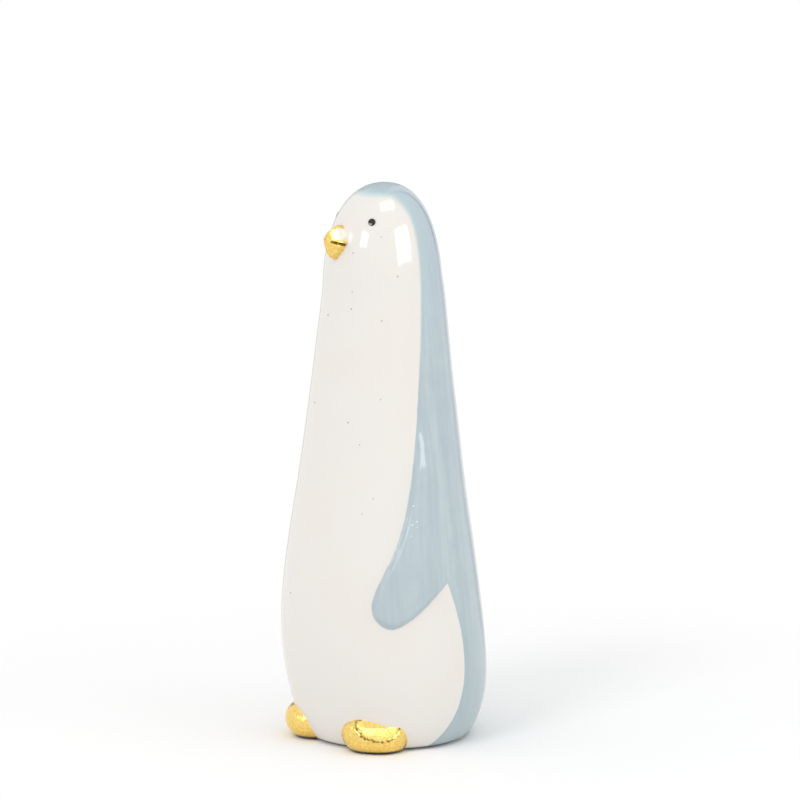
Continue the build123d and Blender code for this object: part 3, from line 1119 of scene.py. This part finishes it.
def card_level(tree, facing):
    """What a mirror sees in a direction: white, and darker where a card stands."""
    level = add_node(tree, "ShaderNodeVectorMath", {0: facing, 1: (1, 1, 0)}, {"operation": "MULTIPLY"})["Vector"]
    level = add_node(tree, "ShaderNodeVectorMath", {0: level}, {"operation": "NORMALIZE"})["Vector"]
    shown = 1.0
    for azimuth, half_width, brightness in cards:
        toward = add_node(
            tree, "ShaderNodeVectorMath", {0: level, 1: tuple(direction(azimuth, 0))}, {"operation": "DOT_PRODUCT"}
        )["Value"]
        edge, middle = [math.cos(math.radians(half_width + soft)) for soft in (card_softness, -card_softness)]
        card = add_node(
            tree,
            "ShaderNodeMapRange",
            {"Value": toward, "From Min": edge, "From Max": middle, "To Min": 1.0, "To Max": brightness},
            EASED,
        )["Result"]
        shown = add_node(tree, "ShaderNodeMath", {0: shown, 1: card}, {"operation": "MULTIPLY"})[0]
    return shown


def floor_material():
    """Matt white paper. Seen by the eye it is white where nothing shades it, and it keeps shadows."""
    material, tree, place = new_material("white studio paper")
    path = add_node(tree, "ShaderNodeLightPath")
    camera_ray, glossy_ray = path["Is Camera Ray"], path["Is Glossy Ray"]
    seen = add_node(tree, "ShaderNodeMath", {0: camera_ray, 1: glossy_ray}, {"operation": "MAXIMUM"})[0]
    tone = add_node(tree, "ShaderNodeMix", {0: seen, 6: (*[paper_level] * 3, 1), 7: (1, 1, 1, 1)}, RGBA)[2]
    paper = add_node(tree, "ShaderNodeBsdfDiffuse", {"Color": tone})["BSDF"]
    reach = add_node(tree, "ShaderNodeVectorMath", {0: place}, {"operation": "LENGTH"})["Value"]
    away = add_node(
        tree, "ShaderNodeMapRange", {"Value": reach, "From Min": shadow_reach, "From Max": shadow_end}, EASED
    )["Result"]
    away = add_node(tree, "ShaderNodeMath", {0: away, 1: seen}, {"operation": "MULTIPLY"})[0]
    # The paper in front of the cards' feet is paler than the cards
    shown = card_level(tree, place)
    shown = add_node(tree, "ShaderNodeMapRange", {"Value": shown, "To Min": paper_card})["Result"]
    shown = add_node(tree, "ShaderNodeMix", {0: camera_ray, 2: shown, 3: 1.0}, {"data_type": "FLOAT"})[0]
    plain_white = add_node(tree, "ShaderNodeEmission", {"Color": (1, 1, 1, 1), "Strength": shown})["Emission"]
    both = add_node(tree, "ShaderNodeMixShader", {0: away, 1: paper, 2: plain_white})["Shader"]
    add_node(tree, "ShaderNodeOutputMaterial", {"Surface": both})
    return material


def tent_world():
    """A white tent round the bird. Mirrors see it white with the cards in it, and the camera sees white."""
    world = bpy.data.worlds.new("studio tent")
    world.use_nodes = True
    tree = world.node_tree
    tree.nodes.clear()
    path = add_node(tree, "ShaderNodeLightPath")
    shown = card_level(tree, add_node(tree, "ShaderNodeTexCoord")["Generated"])
    level = {"data_type": "FLOAT"}
    strength = add_node(tree, "ShaderNodeMix", {0: path["Is Glossy Ray"], 2: tent_level, 3: shown}, level)[0]
    strength = add_node(tree, "ShaderNodeMix", {0: path["Is Camera Ray"], 2: strength, 3: 1.0}, level)[0]
    tent = add_node(tree, "ShaderNodeBackground", {"Color": (1, 1, 1, 1), "Strength": strength})["Background"]
    add_node(tree, "ShaderNodeOutputWorld", {"Surface": tent})
    return world


floor_corners = [(-1, -1, 0), (1, -1, 0), (1, 1, 0), (-1, 1, 0)]
floor = make_piece(
    "studio_floor", np.array(floor_corners) * floor_reach, [np.array([[0, 1, 2, 3]])], [floor_material()]
)
bpy.context.scene.world = tent_world()


def add_softbox(name, azimuth, elevation, distance, width, height, glow, lights_bird):
    """A square lamp that faces the bird. glow is its brightness beside white paper's."""
    lamp = bpy.data.lights.new(name, "AREA")
    lamp.shape = "RECTANGLE"
    lamp.size, lamp.size_y = width, height
    lamp.energy = glow * math.pi * width * height
    box = new_object(name, lamp)
    middle = Vector((0, 0, body_height * 0.6))
    box.location = middle + direction(azimuth, elevation) * distance
    box.rotation_euler = (box.location - middle).to_track_quat("Z", "Y").to_euler()
    box.visible_camera = False
    box.visible_diffuse = lights_bird
    box.visible_glossy = not lights_bird


add_softbox("key light", 18, 42, 2.0, 0.6, 0.6, 5.4, True)
add_softbox("right fill", 115, 8, 1.4, 1.2, 1.2, 0.76, True)
add_softbox("right window", 98, 24, 1.2, 0.7, 0.56, 4.4, False)
add_softbox("overhead window", 70, 72.5, 1.2, 0.6, 0.42, 3.0, False)
add_softbox("front strip", 10, 27, 1.2, 0.3, 0.26, 7.0, False)
add_softbox("far window", -25, 22, 1.2, 0.22, 0.14, 3.0, False)

camera_data = bpy.data.cameras.new("camera")
camera_data.sensor_width = 36
camera_data.lens = 195.75
camera_data.shift_x = 0.0191
camera_data.shift_y = 0.0671
camera_data.clip_end = 50
camera = new_object("camera", camera_data)
camera.location = camera_place
camera.rotation_euler = (camera_place - aim).to_track_quat("Z", "Y").to_euler()
bpy.context.scene.camera = camera
bpy.context.scene.view_settings.view_transform = "Standard"
